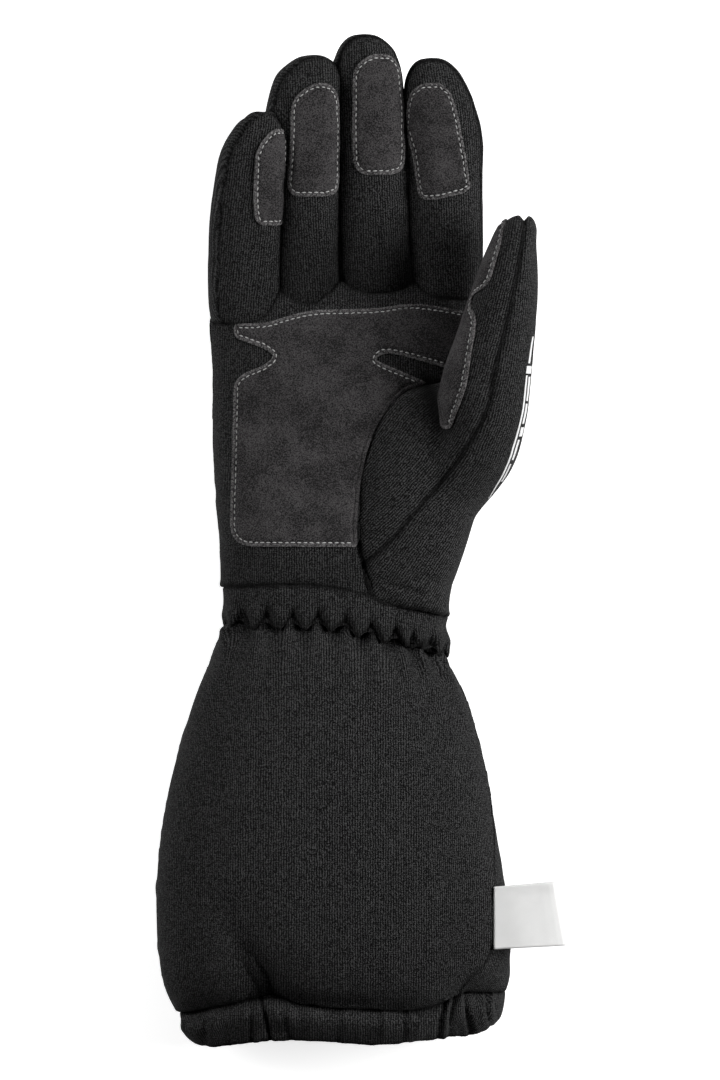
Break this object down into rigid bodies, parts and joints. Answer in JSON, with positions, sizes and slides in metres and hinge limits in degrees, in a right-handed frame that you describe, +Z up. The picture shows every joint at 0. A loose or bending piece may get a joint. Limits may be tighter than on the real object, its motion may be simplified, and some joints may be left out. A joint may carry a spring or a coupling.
{
  "type": "racing glove",
  "caption": "Long gauntlet glove of black ribbed knit with suede grip patches, gathered elastic wrist, wide padded cuff, elastic hem and sewn tape tag; protects a driver's hand and wrist.",
  "frame": {"origin": "middle of the glove's length and width, on the surface that it lies on", "axes": "+X towards the thumb, +Y towards the fingertips, +Z up out of the palm; the glove lies on its back"},
  "size_m": [0.1547, 0.3789, 0.0602],
  "materials": {
    "knit": "matt black fine-ribbed knit",
    "suede": "dark grey brushed suede",
    "tape": "white woven tape, plain"
  },
  "bodies": {
    "root": {"palm_panel": "knit", "back_panel": "knit", "thumb_front_panel": "knit", "thumb_back_panel": "knit", "little_finger_front": "knit", "little_finger_back": "knit", "ring_finger_front": "knit", "ring_finger_back": "knit", "middle_finger_front": "knit", "middle_finger_back": "knit", "index_finger_front": "knit", "index_finger_back": "knit", "palm_patch": "suede", "little_finger_patch": "suede", "ring_finger_patch": "suede", "middle_finger_patch": "suede", "index_finger_patch": "suede", "thumb_patch": "suede", "wrist_band": "knit", "cuff_front_panel": "knit", "cuff_back_panel": "knit", "hem_band": "knit", "sewn_tag": "tape"}
  },
  "joints": []
}
